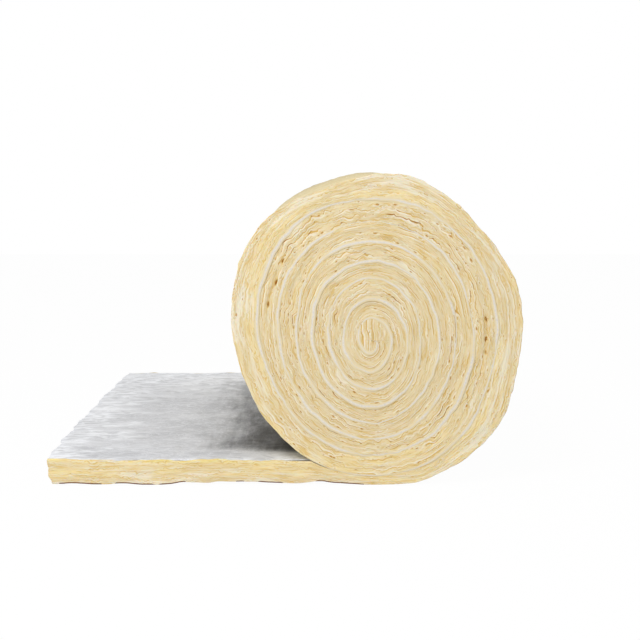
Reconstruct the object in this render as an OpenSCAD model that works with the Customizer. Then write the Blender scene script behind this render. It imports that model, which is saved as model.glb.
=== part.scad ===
// Insulation roll: a glass wool blanket with a foil facing on one side. It is wound up with the
// facing inwards, and its outer end is rolled out flat, facing up, so the roll rests on it.
// The roll's axis runs along Y, the flat end points to -X, and the floor is at Z = 0.

/* [Blanket] */
// Width of the blanket, which is the length of the roll
blanket_w = 1200; // [400:10:1500]
// Thickness where it isn't squeezed, facing included
blanket_t = 50; // [25:1:100]
// Thickness of the foil facing
facing_t = 0.4; // [0.2:0.1:1]
// Length that is rolled out, from the cut end to below the roll's axis
rolled_out_l = 645; // [400:5:1500]
// Distance by which the cut end slants back from the facing to the floor
cut_slant = 6; // [0:1:20]

/* [Winding] */
// Turns from the outside of the roll to its core
turns = 8.25; // [4:0.25:14]
// Turns from the outside that keep the full thickness
loose_turns = 2.25; // [0.5:0.25:4]
// Turns over which the squeeze of the winding then sets in
ease_turns = 0.15; // [0.05:0.05:1]
// Thickness of a turn deep in the roll, squeezed by the winding
deep_turn_t = 34; // [15:0.5:60]
// Radius at which the facing ends in the core
core_r = 11.5; // [1:0.5:20]

/* [Sag] */
// Height over width of the outermost turn
outer_oval = 1.09; // [1:0.01:1.3]
// Height over width of the innermost turn
core_oval = 1.38; // [1:0.01:1.6]
// Share of its thickness that wool at the floor loses to the weight above
squeeze = 0.75; // [0:0.05:0.85]
// Height over which that squeeze fades
squeeze_h = 45; // [20:1:80]
// Depth to which the floor flattens the underside
flat_depth = 5.6; // [1:0.2:12]
// Drop of the core below the middle of the roll
core_drop = 13; // [0:1:40]
// Share by which the roll is wider at its top than at the floor
top_spread = 0.15; // [0:0.01:0.3]
// Distance by which its top leans towards the rolled-out end
lean = 22; // [0:1:60]

/* [Hidden] */

steps_per_turn = 48;
step_a = 360 / steps_per_turn;
last_step = round(turns * steps_per_turn);

// Squeezed turns up to turn n, and the wool wound between the outside of the roll and turn n.
function squeezed(n) = ease_turns * ln(1 + exp((n - loose_turns) / ease_turns));
function wound(n) = blanket_t * n - (blanket_t - deep_turn_t) * (squeezed(n) - squeezed(0));
function turn_r(n) = core_r + wound(turns) - wound(n);
function oval(n) = outer_oval + (core_oval - outer_oval) * n / turns;
function half_width(n) = turn_r(n) / sqrt(oval(n));
function half_height(n) = turn_r(n) * sqrt(oval(n));

// Height above the floor after the roll has settled: a smooth squeeze that never lets two layers cross.
function settled(z) = z - squeeze * squeeze_h * (1 - exp(-z / squeeze_h)) - flat_depth;

// Height of the winding after angle a, which starts below the axis and goes towards +X, up and inwards.
function winding_z(a) =
    let (n = a / 360)
    settled(half_height(0) - half_height(n) * cos(a) - core_drop * n / turns);
roll_h = winding_z(180);

// Point of the winding after angle a, spread and leaning by its height from the middle of the roll.
function winding(a) =
    let (n = a / 360, z = winding_z(a), up = z / roll_h - 0.5)
    [half_width(n) * sin(a) * (1 + top_spread * up) - lean * up, z];
function winding_step(i) = winding(i * step_a);

// Point at height z on the straight line from p to q.
function at_height(p, q, z) = p + (q - p) * (z - p.y) / (q.y - p.y);

// The underside is flat from the cut end to where the first turn lifts off the floor.
lift_step = min([for (i = [1 : steps_per_turn]) if (winding_step(i).y > 0) i]);
lift_point = at_height(winding_step(lift_step - 1), winding_step(lift_step), 0);

// In the nip, the first turn comes down again on the facing of the rolled-out end.
nip_step = min([for (i = [steps_per_turn / 2 : steps_per_turn]) if (winding_step(i).y < blanket_t) i]);
nip_point = at_height(winding_step(nip_step - 1), winding_step(nip_step), blanket_t);

// Wool's outer side, the facing's bare side and the plane where the two are bonded, each from the
// cut end to the core. Turn by turn, the wool's outer side lies on the facing's bare side.
wool_side = concat(
    [[cut_slant - rolled_out_l, 0], lift_point],
    [for (i = [lift_step : last_step]) winding_step(i)]);
bare_side = concat(
    [[-rolled_out_l, blanket_t], nip_point],
    [for (i = [nip_step : last_step]) winding_step(i)]);
bond_side = concat(
    [[-rolled_out_l, blanket_t - facing_t], nip_point - [0, facing_t]],
    [for (i = [nip_step : last_step]) winding_step(i) + facing_t * [sin(i * step_a), -cos(i * step_a)]]);

// The origin is on the floor, in the middle of the part's length and width.
roll_end_x = max([for (p = wool_side) p.x]);
middle_x = (roll_end_x - rolled_out_l) / 2;

function reversed(list) = [for (i = [len(list) - 1 : -1 : 0]) list[i]];

// Strip between two sides of the blanket, over its whole width.
module blanket_layer(outside, inside) {
    translate([-middle_x, 0, 0])
        rotate([90, 0, 0])
            linear_extrude(height = blanket_w, center = true)
                polygon(concat(outside, reversed(inside)));
}

module wool_blanket() {
    color("palegoldenrod") blanket_layer(wool_side, bond_side);
}

module foil_facing() {
    color("silver") blanket_layer(bond_side, bare_side);
}

wool_blanket();
foil_facing();
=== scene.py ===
"""Dresses the insulation roll: a glass wool blanket with a foil facing, wound up, one end rolled out.

Sizes are in metres, in the part's own frame. The roll's axis runs along Y, the rolled-out end points
to -X and the floor is at Z = 0. The near end of the roll is at the lowest Y, the far end at the highest.
"""

import logging
import math
from dataclasses import dataclass, field
from enum import Enum

import bpy
import numpy as np
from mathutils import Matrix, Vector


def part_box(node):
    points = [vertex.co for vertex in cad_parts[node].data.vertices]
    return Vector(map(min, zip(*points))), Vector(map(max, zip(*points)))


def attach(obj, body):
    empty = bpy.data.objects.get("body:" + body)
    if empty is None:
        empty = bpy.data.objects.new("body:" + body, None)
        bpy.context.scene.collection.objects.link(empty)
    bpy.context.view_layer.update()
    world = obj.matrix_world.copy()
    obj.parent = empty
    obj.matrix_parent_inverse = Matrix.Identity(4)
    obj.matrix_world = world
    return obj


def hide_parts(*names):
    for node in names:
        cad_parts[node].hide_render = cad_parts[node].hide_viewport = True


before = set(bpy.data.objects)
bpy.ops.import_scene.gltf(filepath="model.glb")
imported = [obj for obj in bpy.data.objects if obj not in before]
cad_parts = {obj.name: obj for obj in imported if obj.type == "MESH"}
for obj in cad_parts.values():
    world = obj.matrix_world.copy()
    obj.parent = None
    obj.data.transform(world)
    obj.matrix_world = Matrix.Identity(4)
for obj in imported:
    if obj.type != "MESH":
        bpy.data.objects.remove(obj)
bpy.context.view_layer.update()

LOG = logging.getLogger("insulation_roll")
Array = np.ndarray
Colour = tuple[float, float, float, float]
Triple = tuple[float, float, float]
Pair = tuple[float, float]
Material = bpy.types.Material
Socket = bpy.types.NodeSocket


class RollEnd(Enum):
    """The two ends of the roll, by the sign of Y there."""

    NEAR = -1
    FAR = 1


class UvName(Enum):
    """Names of the UV maps and attributes that the finishes read."""

    BLANKET = "blanket"
    SEAM = "seam"
    OPEN = "open"
    PIT = "pit"
    PALE = "pale"
    WARM = "warm"
    ACROSS = "across"
    CRUMPLE = "crumple"
    TEAR = "tear"
    SHADE = "shade"

    @classmethod
    def of_relief(cls) -> tuple["UvName", ...]:
        """Names of the attributes that a relief has."""
        return cls.SEAM, cls.OPEN, cls.PIT, cls.PALE, cls.WARM, cls.ACROSS, cls.CRUMPLE


def srgb(red: int, green: int, blue: int) -> Colour:
    """Linear colour of a display colour.

    Args:
        red: Red, from 0 to 255.
        green: Green, from 0 to 255.
        blue: Blue, from 0 to 255.

    Returns:
        The colour as linear values with full alpha.
    """
    shown = np.array([red, green, blue]) / 255.0
    low = shown / 12.92
    high = ((shown + 0.055) / 1.055) ** 2.4
    linear = np.where(shown <= 0.04045, low, high)
    return (float(linear[0]), float(linear[1]), float(linear[2]), 1.0)


def ease(low: float, high: float, value: Array) -> Array:
    """Smooth step from 0 at low to 1 at high.

    Args:
        low: Value at which the step starts.
        high: Value at which it ends.
        value: Values to map.

    Returns:
        3 t^2 - 2 t^3 of the share t of the way from low to high.
    """
    t = np.clip((value - low) / (high - low), 0.0, 1.0)
    return t * t * (3.0 - 2.0 * t)


class Noise:
    """Smooth random values over a plane, the same for the same seed."""

    CELLS = 256
    LAYER_SHIFT = (17.3, 9.1)
    PILLOW_GAIN = 1.6

    def __init__(self, seed: int) -> None:
        """Fills the lattice that the values are read from.

        Args:
            seed: Number that picks the pattern.
        """
        self.lattice = np.random.default_rng(seed).uniform(-1.0, 1.0, (self.CELLS, self.CELLS))

    def at(self, x: Array, y: Array | float) -> Array:
        """Noise of one scale: the lattice's corner values, blended with a fifth-order ease.

        Args:
            x: First coordinate, in lattice cells.
            y: Second coordinate, in lattice cells.

        Returns:
            Values from -1 to 1.
        """
        x, y = np.broadcast_arrays(np.asarray(x, float), np.asarray(y, float))
        column, row = np.floor(x).astype(int), np.floor(y).astype(int)
        across, along = x - column, y - row
        across = across ** 3 * (across * (across * 6.0 - 15.0) + 10.0)
        along = along ** 3 * (along * (along * 6.0 - 15.0) + 10.0)
        left, right = column % self.CELLS, (column + 1) % self.CELLS
        low, high = row % self.CELLS, (row + 1) % self.CELLS
        below = self.lattice[left, low] * (1.0 - across) + self.lattice[right, low] * across
        above = self.lattice[left, high] * (1.0 - across) + self.lattice[right, high] * across
        return below * (1.0 - along) + above * along

    def layered(self, x: Array, y: Array | float, layers: int = 3) -> Array:
        """Noise of several scales: each layer is twice as fine and half as strong as the last.

        Args:
            x: First coordinate, in cells of the coarsest layer.
            y: Second coordinate, in cells of the coarsest layer.
            layers: Number of scales.

        Returns:
            Values that stay mostly between -1 and 1.
        """
        total = np.zeros(np.broadcast(x, y).shape)
        shift_x, shift_y = self.LAYER_SHIFT
        for layer in range(layers):
            fine = 2.0 ** layer
            layer_x = np.asarray(x) * fine + shift_x * layer
            layer_y = np.asarray(y) * fine + shift_y * layer
            total = total + self.at(layer_x, layer_y) / fine
        return total

    def pillows(self, x: Array, y: Array | float) -> Array:
        """Rounded lobes with sharp creases between them: the size of the noise without its sign.

        Args:
            x: First coordinate, in lattice cells.
            y: Second coordinate, in lattice cells.

        Returns:
            Values from 0 in a crease to 1.
        """
        return np.minimum(1.0, self.PILLOW_GAIN * np.abs(self.at(x, y)))


@dataclass(frozen=True)
class Winding:
    """Section of the wound blanket, from the same sizes as the part's solids.

    It is counted in turns from the outside. Turn 0 is below the roll's axis on the floor, a quarter
    turn on is the +X side, and the last turn ends in the core.

    Attributes:
        cut_x: X of the cut end, at the facing.
        blanket_t: Thickness of the blanket where it isn't squeezed.
        rolled_out_l: Length from the cut end to below the roll's axis.
        cut_slant: Distance by which the cut end slants back to the floor.
        turns: Turns from the outside to the core.
        loose_turns: Turns from the outside that keep the full thickness.
        ease_turns: Turns over which the squeeze of the winding then sets in.
        deep_turn_t: Thickness of a turn deep in the roll.
        core_r: Radius at which the facing ends.
        outer_oval: Height over width of the outermost turn.
        core_oval: Height over width of the innermost turn.
        squeeze: Share of its thickness that wool at the floor loses.
        squeeze_h: Height over which that squeeze fades.
        flat_depth: Depth to which the floor flattens the underside.
        core_drop: Drop of the core below the middle.
        top_spread: Share by which the top is wider than the bottom.
        lean: Distance by which the top leans towards the rolled-out end.
    """

    cut_x: float
    blanket_t: float = 0.050
    rolled_out_l: float = 0.645
    cut_slant: float = 0.006
    turns: float = 8.25
    loose_turns: float = 2.25
    ease_turns: float = 0.15
    deep_turn_t: float = 0.034
    core_r: float = 0.0115
    outer_oval: float = 1.09
    core_oval: float = 1.38
    squeeze: float = 0.75
    squeeze_h: float = 0.045
    flat_depth: float = 0.0056
    core_drop: float = 0.013
    top_spread: float = 0.15
    lean: float = 0.022

    @property
    def axis_x(self) -> float:
        """X of the roll's axis."""
        return self.cut_x + self.rolled_out_l

    def wound(self, n: Array) -> Array:
        """Thickness of wool from the outside to turn n, the full blanket first, then the squeezed one.

        Args:
            n: Turns from the outside.

        Returns:
            Distances from the outside.
        """
        squeezed = np.logaddexp(0.0, (n - self.loose_turns) / self.ease_turns)
        before = np.logaddexp(0.0, -self.loose_turns / self.ease_turns)
        lost = (self.blanket_t - self.deep_turn_t) * self.ease_turns * (squeezed - before)
        return self.blanket_t * n - lost

    def half_sizes(self, n: Array) -> tuple[Array, Array]:
        """Half width and half height of the oval at turn n.

        Args:
            n: Turns from the outside.

        Returns:
            The turn's radius over, and times, the root of its height over its width.
        """
        radius = self.core_r + self.wound(self.turns) - self.wound(n)
        tall = np.sqrt(self.outer_oval + (self.core_oval - self.outer_oval) * n / self.turns)
        return radius / tall, radius * tall

    def height(self, n: Array, radius_share: float = 1.0) -> Array:
        """Height of the winding at turn n, after the weight has settled it on the floor.

        Args:
            n: Turns from the outside.
            radius_share: Share of the way from the core's middle to the winding.

        Returns:
            Heights, below 0 where the floor flattens the underside.
        """
        swing = radius_share * self.half_sizes(n)[1] * np.cos(2.0 * np.pi * n)
        free = self.half_sizes(0.0)[1] - swing - self.core_drop * n / self.turns
        settled = self.squeeze * self.squeeze_h * (1.0 - np.exp(-free / self.squeeze_h))
        return free - settled - self.flat_depth

    def point(self, n: Array, radius_share: float = 1.0) -> Array:
        """Point of the winding at turn n: an oval spiral, spread and leaning with its height.

        Args:
            n: Turns from the outside.
            radius_share: Share of the way from the core's middle to the winding.

        Returns:
            X and Z in the last axis.
        """
        z = self.height(n, radius_share)
        up = z / self.height(0.5) - 0.5
        swing = radius_share * self.half_sizes(n)[0] * np.sin(2.0 * np.pi * n)
        x = self.axis_x + swing * (1.0 + self.top_spread * up) - self.lean * up
        return np.stack([x, z], axis=-1)

    def nip(self) -> float:
        """Turn at which the first turn comes down on the facing of the rolled-out end."""
        n = np.linspace(0.5, 1.0, 2001)
        return float(np.interp(-self.blanket_t, -self.height(n), n))


class BlanketPath:
    """Cross lines of the blanket, at even steps from the cut end to the core.

    Attributes:
        winding: Section that the path follows.
        outer: X and Z on the wool's outer side, one row a cross line.
        inner: X and Z on the facing's side.
        turn: Turn of the outer side, below 0 on the rolled-out end.
        length: Length along the blanket from the cut end.
        flat_count: Number of cross lines before the nip.
    """

    FINE_COUNT = 9000
    SLANT_L = 0.1

    def __init__(self, winding: Winding, step: float) -> None:
        """Spaces the cross lines.

        Args:
            winding: Section to follow.
            step: Distance between cross lines along the middle of the blanket.
        """
        self.winding = winding
        nip = winding.nip()
        nip_x = float(winding.point(nip)[0])
        self.flat_count = round((nip_x - winding.cut_x) / step)
        flat_x = np.linspace(winding.cut_x, nip_x, self.flat_count, endpoint=False)
        slant = winding.cut_slant * np.clip(1.0 - (flat_x - winding.cut_x) / self.SLANT_L, 0.0, 1.0)
        flat_outer = np.stack([flat_x + slant, np.zeros_like(flat_x)], axis=-1)
        flat_inner = np.stack([flat_x, np.full_like(flat_x, winding.blanket_t)], axis=-1)
        fine = np.linspace(nip - 1.0, winding.turns, self.FINE_COUNT)
        middle = 0.5 * (self.outer_at(fine) + self.inner_at(fine))
        run = np.concatenate([[0.0], np.cumsum(np.linalg.norm(np.diff(middle, axis=0), axis=1))])
        even = np.linspace(0.0, run[-1], round(run[-1] / step) + 1)
        wound = np.interp(even, run, fine)
        flat_turn = wound[0] - (nip_x - flat_x) / (2.0 * np.pi * winding.half_sizes(0.0)[0])
        self.outer = np.concatenate([flat_outer, self.outer_at(wound)])
        self.inner = np.concatenate([flat_inner, self.inner_at(wound)])
        self.turn = np.concatenate([flat_turn, wound])
        self.length = np.concatenate([flat_x - winding.cut_x, nip_x - winding.cut_x + even])

    def outer_at(self, n: Array) -> Array:
        """Point of the wool's outer side at turn n, flat on the floor where the winding is below it.

        Args:
            n: Turns from the outside, below 0 on the rolled-out end.

        Returns:
            X and Z in the last axis.
        """
        wound = self.winding.point(n)
        below = self.winding.point(n + 1.0)
        x = np.where(n < 0.0, below[..., 0], wound[..., 0])
        z = np.where(n < 0.0, 0.0, np.maximum(wound[..., 1], 0.0))
        return np.stack([x, z], axis=-1)

    def inner_at(self, n: Array) -> Array:
        """Point of the facing's side at turn n, which is the winding one turn on, then the core's middle.

        Args:
            n: Turns of the outer side from the outside.

        Returns:
            X and Z in the last axis.
        """
        turns = self.winding.turns
        wound = self.winding.point(np.minimum(n + 1.0, turns))
        return np.where((n + 1.0 > turns)[..., None], self.winding.point(np.array(turns), 0.0), wound)

    @property
    def across(self) -> Array:
        """Unit vectors from the outer side to the facing's side."""
        step = self.inner - self.outer
        return step / np.maximum(np.linalg.norm(step, axis=1, keepdims=True), 1e-6)

    @property
    def facing_run(self) -> float:
        """Length of the facing, from the cut end to the core."""
        faced = self.inner[self.turn + 1.0 < self.winding.turns]
        return float(np.linalg.norm(np.diff(faced, axis=0), axis=1).sum())

    @property
    def thickness(self) -> Array:
        """Thickness of the wool at each cross line."""
        return np.linalg.norm(self.inner - self.outer, axis=1)


class Surface:
    """Gathers the grids of one closed mesh, then writes it."""

    def __init__(self, name: str) -> None:
        """Starts an empty surface.

        Args:
            name: Name of the piece.
        """
        self.name = name
        self.points: list[Array] = []
        self.point_count = 0
        self.faces: list[tuple[Array, Array, int]] = []
        self.values: dict[str, list[Array]] = {}

    def add_points(self, points: Array, **values: Array) -> Array:
        """Adds a grid of points.

        Args:
            points: X, Y and Z in the last axis.
            **values: One number a point for each attribute, in the grid's shape.

        Returns:
            The points' numbers, in the grid's shape.
        """
        shape = points.shape[:-1]
        count = int(np.prod(shape))
        numbers = np.arange(self.point_count, self.point_count + count).reshape(shape)
        for name, value in values.items():
            rows = self.values.setdefault(name, [np.zeros(self.point_count)])
            rows.append(np.broadcast_to(value, shape).reshape(-1))
        for name, rows in self.values.items():
            if name not in values:
                rows.append(np.zeros(count))
        self.points.append(points.reshape(-1, 3))
        self.point_count += count
        return numbers

    def add_grid(self, numbers: Array, uv: Array | None, material: int = 0, flip: bool = False) -> None:
        """Covers a grid of points with quads.

        Args:
            numbers: Point numbers, by row and column.
            uv: UV of each point of the grid, or None where it isn't seen.
            material: Number of the finish.
            flip: Whether the faces look to the other side of row times column.
        """
        def corners(grid: Array) -> Array:
            """The four corners of each cell, in turn."""
            return np.stack([grid[:-1, :-1], grid[1:, :-1], grid[1:, 1:], grid[:-1, 1:]], axis=2)
        quads = corners(numbers).reshape(-1, 4)
        quad_uv = np.zeros((len(quads), 4, 2))
        if uv is not None:
            quad_uv = corners(uv).reshape(-1, 4, 2)
        if flip:
            quads, quad_uv = quads[:, ::-1], quad_uv[:, ::-1]
        self.faces.append((quads, quad_uv, material))

    def add_faces(self, numbers: Array, material: int = 0) -> None:
        """Adds faces with any one number of corners, one face a row, where no UV is seen.

        Args:
            numbers: Point numbers of the corners, in turn.
            material: Number of the finish.
        """
        rows = np.atleast_2d(numbers)
        self.faces.append((rows, np.zeros((*rows.shape, 2)), material))

    def build(self, materials: list[Material]) -> bpy.types.Object:
        """Writes the mesh into the scene.

        Args:
            materials: Finishes, in the order of their numbers.

        Returns:
            The new object, at the origin.
        """
        mesh = bpy.data.meshes.new(self.name)
        points = np.concatenate(self.points)
        mesh.vertices.add(len(points))
        mesh.vertices.foreach_set("co", points.ravel())
        sizes = np.concatenate([np.full(len(quads), quads.shape[1]) for quads, _, _ in self.faces])
        corners = np.concatenate([quads.ravel() for quads, _, _ in self.faces])
        mesh.loops.add(len(corners))
        mesh.loops.foreach_set("vertex_index", corners)
        mesh.polygons.add(len(sizes))
        mesh.polygons.foreach_set("loop_start", np.concatenate([[0], np.cumsum(sizes)[:-1]]))
        finish = np.concatenate([np.full(len(quads), number) for quads, _, number in self.faces])
        mesh.polygons.foreach_set("material_index", finish)
        mesh.polygons.foreach_set("use_smooth", np.ones(len(sizes), bool))
        layer = mesh.uv_layers.new(name=UvName.BLANKET.value)
        mesh.update(calc_edges=True)
        layer.data.foreach_set("uv", np.concatenate([uv.reshape(-1, 2) for _, uv, _ in self.faces]).ravel())
        for name, rows in self.values.items():
            attribute = mesh.attributes.new(name, "FLOAT", "POINT")
            attribute.data.foreach_set("value", np.concatenate(rows))
        for material in materials:
            mesh.materials.append(material)
        piece = bpy.data.objects.new(self.name, mesh)
        bpy.context.scene.collection.objects.link(piece)
        return piece


@dataclass(frozen=True)
class Relief:
    """What a spot of an end of the wool looks like.

    Attributes:
        height: Distance that it stands out of the end's plane.
        seam: How clear the crease between its layers is, from 0 to 1.
        open: How far that crease gapes, from 0 to 1.
        pit: How close the crease's nearest nick is, from 0 to 1, and over 1 on the underside's skin.
        pale: How much of it is loose white fibre, from 0 to 1.
        warm: How strong its warm tint is, from 0 to 1, and over 1 where it is yellow.
        across: Distance from the blanket's outer side.
        crumple: How crumpled the wool is, from 0 to 1.
        uv: Length along the blanket, and place across it as the waves and nicks shift the layers.
    """

    height: Array
    seam: Array
    open: Array
    pit: Array
    pale: Array
    warm: Array
    across: Array
    crumple: Array
    uv: Array

    def values(self, part: tuple = (slice(None), slice(None))) -> dict[str, Array]:
        """Values of the mesh attributes.

        Args:
            part: Rows and columns of the grid to take.

        Returns:
            One array for each attribute's name.
        """
        return {name.value: getattr(self, name.value)[part] for name in UvName.of_relief()}


@dataclass(frozen=True)
class Tear:
    """Place of the near end where the wool has torn: a pit or a shallow furrow along the layers.

    Attributes:
        turn: Turns from the outside.
        share: Share of the way from the blanket's outer side to the facing.
        half_l: Half its length along the blanket.
        half_w: Half its width.
        depth: Depth in the middle.
        dark: How dark the painted shade in it is, from 0 to 1.
    """

    turn: float
    share: float
    half_l: float
    half_w: float
    depth: float = 0.003
    dark: float = 1.0


@dataclass
class WoolGrain:
    """Layers of the wool on the ends of the roll, with the creases between them.

    A cell is the size of a pattern along the blanket and across it. A number added to a place only picks
    another part of the same pattern.

    Attributes:
        seed: First of the numbers that pick the patterns.
        layer_h: Height to which the lip of a layer stands over the crease beside it.
        thin_h: Height of the thin layers in it.
        lump_h: Height of the broad lumps.
        open_h: Depth of a crease that gapes.
        crease_w: Half the width of such a crease.
        rim_w: Distance from the facing over which the relief fades to a plain rim.
        patch_cell: Cell of the crumpled patches.
        wave_cell: Cell of the slow waves of the layers.
        ripple_cell: Cell of their shorter waves.
        nick_cell: Cell of the nicks in a crease.
        fine_nick_cell: Cell of its finer nicks.
        seam_cell: Cell of the stretches in which a crease shows.
        gap_cell: Cell of the stretches in which it gapes.
        lump_cell: Cell of the lumps.
        streak_cell: Cell of the warm streaks.
        thin_l: Length of the thin layers.
        fleck_l: Length of the flecks of loose fibre.
        skin_l: Length of the breaks in the underside's skin.
        fringe_l: Length of the tufts of white fringe along the flat end's underside.
        fringe_at: Distances from the outer side at which that fringe starts and is full.
        pale_at: Distance from the outer side to the pale layer of the flat end.
        pale_w: Half the width of that layer.
        yellow_at: Distances from the outer side at which the flat end's yellow layer starts and is full.
    """

    LAYER_T = 0.0125

    seed: int
    layer_h: float = 0.0005
    thin_h: float = 0.0004
    lump_h: float = 0.0017
    open_h: float = 0.0003
    crease_w: float = 0.0015
    rim_w: float = 0.010
    patch_cell: Pair = (0.15, 0.07)
    wave_cell: Pair = (0.28, 0.07)
    ripple_cell: Pair = (0.085, 0.05)
    nick_cell: Pair = (0.027, 0.06)
    fine_nick_cell: Pair = (0.0100, 0.06)
    seam_cell: Pair = (0.036, 0.013)
    gap_cell: Pair = (0.05, 0.02)
    lump_cell: Pair = (0.075, 0.03)
    streak_cell: Pair = (0.25, 0.02)
    thin_l: float = 0.05
    fleck_l: float = 0.06
    skin_l: float = 0.024
    fringe_l: float = 0.09
    fringe_at: Pair = (0.012, 0.002)
    pale_at: float = 0.022
    pale_w: float = 0.012
    yellow_at: Pair = (0.026, 0.046)
    noises: list[Noise] = field(init=False)

    def __post_init__(self) -> None:
        """Makes the noises, one for each effect."""
        self.noises = [Noise(self.seed + number) for number in range(8)]

    def levels(self, along: Array, across: Array, crush: Array | float) -> tuple[Array, Array, Array]:
        """Level of each spot, counted in layers: its place across the blanket, shifted by waves and nicks.

        Slow waves sway the layers. In crumpled patches pillows of noise pull them into nicks, which
        point away from the core.

        Args:
            along: Length along the blanket.
            across: Distance from its outer side.
            crush: How much the winding has crumpled the wool, from 0 to 1.

        Returns:
            The level, the height of the pillow between two nicks, and how crumpled the wool is.
        """
        sway, nick, _, _, patch, _, _, _ = self.noises
        patches = patch.at(along / self.patch_cell[0], across / self.patch_cell[1] + 3.0)
        crumpled = ease(-0.50, 0.25, patches) * (0.1 + 0.9 * crush)
        nicks = nick.pillows(along / self.nick_cell[0], across / self.nick_cell[1] + 20.0)
        short = nick.pillows(along / self.fine_nick_cell[0] + 70.0, across / self.fine_nick_cell[1] + 50.0)
        waves = 0.6 * sway.at(along / self.wave_cell[0], across / self.wave_cell[1])
        ripples = sway.at(along / self.ripple_cell[0] + 50.0, across / self.ripple_cell[1] + 7.0)
        waves = waves + 0.30 * ripples
        level = across / self.LAYER_T + waves - crumpled * (0.66 * nicks + 0.30 * short - 0.5)
        return level, nicks, crumpled

    def tints(self, along: Array, across: Array, level: Array, crush: Array | float,
              low_warmth: Array | float) -> tuple[Array, Array]:
        """Loose fibre and warm tint: noise in flecks and streaks, with the flat end's own layers added,
        warmer and paler low on the roll.

        Args:
            along: Length along the blanket.
            across: Distance from its outer side.
            level: The same distance, counted in layers.
            crush: How much the winding has crumpled the wool, from 0 to 1.
            low_warmth: How strong the warm tint of the roll's lower part is, from 0 to 1.

        Returns:
            Values of pale and warm, as Relief has them.
        """
        _, _, _, thin, _, _, lump, tint = self.noises
        tufts = ease(0.0, 0.4, thin.at(along / self.fringe_l + 33.0, 2.0))
        fringe = ease(*self.fringe_at, across) * tufts * (1.0 - crush)
        streaky = tint.layered(along / self.streak_cell[0], across / self.streak_cell[1], 2)
        middle = 0.46 * np.exp(-(((across - self.pale_at) / self.pale_w) ** 2)) * (1.0 - crush)
        pale = 0.5 + 0.7 * lump.layered(along / self.fleck_l + 9.0, level, 2) + middle + fringe
        pale = np.clip(pale, 0.0, 1.5) + 0.3 * low_warmth * (pale < 0.8)
        warm = np.clip(0.40 + 0.7 * streaky, 0.0, 1.0) * (1.0 - 0.6 * crush)
        warm = np.clip(warm + low_warmth * (0.5 + 0.4 * streaky), 0.0, 0.9)
        warm = warm + ease(*self.yellow_at, across + 0.008 * streaky) * ease(0.2, 0.0, crush)
        return pale, warm

    def relief(self, along: Array, across: Array, edge: Array, crush: Array | float,
               calm: Array | float = 0.0, skin: Array | float = 0.0, low_warmth: Array | float = 0.0) -> Relief:
        """Relief of an end: layers that lie on each other like roof tiles, each with a lip at its crease.

        Lumps and thin layers are added. Towards the facing it all fades to a plain rim.

        Args:
            along: Length along the blanket.
            across: Distance from its outer side.
            edge: Distance from the nearest facing.
            crush: How much the winding has crumpled the wool, from 0 to 1.
            calm: How much its layers are smoothed out, from 0 to 1.
            skin: How close the brown skin of the underside is, from 0 to 1; it also carries the painted
                shadow line there.
            low_warmth: How strong the warm tint of the roll's lower part is, from 0 to 1.

        Returns:
            The relief at each point.
        """
        _, _, merge, thin, _, gape, lump, _ = self.noises
        level, nicks, crumpled = self.levels(along, across, crush)
        inward = level - np.floor(level)
        lip = ease(0.0, 0.24, inward) * (1.0 - 0.6 * inward) * ease(0.0, 0.14, 1.0 - inward)
        seam = ease(-0.08, 0.32, merge.at(along / self.seam_cell[0], across / self.seam_cell[1]))
        seam = seam * (0.25 + 0.75 * crush) * (1.0 - calm)
        gaping = gape.at(along / self.gap_cell[0] + 40.0, across / self.gap_cell[1])
        gap = ease(0.1, 0.6, gaping) * seam
        crease = np.exp(-(((level - np.round(level)) * self.LAYER_T / self.crease_w) ** 2))
        inside = 1.0 - np.exp(-((edge / self.rim_w) ** 2))
        height = self.lump_h * lump.layered(along / self.lump_cell[0], across / self.lump_cell[1], 2)
        height = height + self.layer_h * (lip - 0.5) * (0.3 + 0.7 * seam)
        height = height + self.thin_h * (thin.pillows(along / self.thin_l, 2.7 * level) - 0.5)
        height = height * (0.12 + 0.88 * inside) - self.open_h * crease * gap * inside
        height = height * (1.0 - 0.9 * calm)
        pit = np.exp(-((nicks / 0.20) ** 2)) * (0.3 + 0.7 * crumpled) * crush
        pit = pit + 2.2 * skin * ease(-0.40, 0.30, gape.at(along / self.skin_l, 5.0))
        pale, warm = self.tints(along, across, level, crush, low_warmth)
        uv = np.stack(np.broadcast_arrays(along, level * self.LAYER_T), axis=-1)
        place = np.broadcast_to(across, height.shape)
        return Relief(height, seam, gap, pit, pale, warm, place, crumpled, uv)


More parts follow.
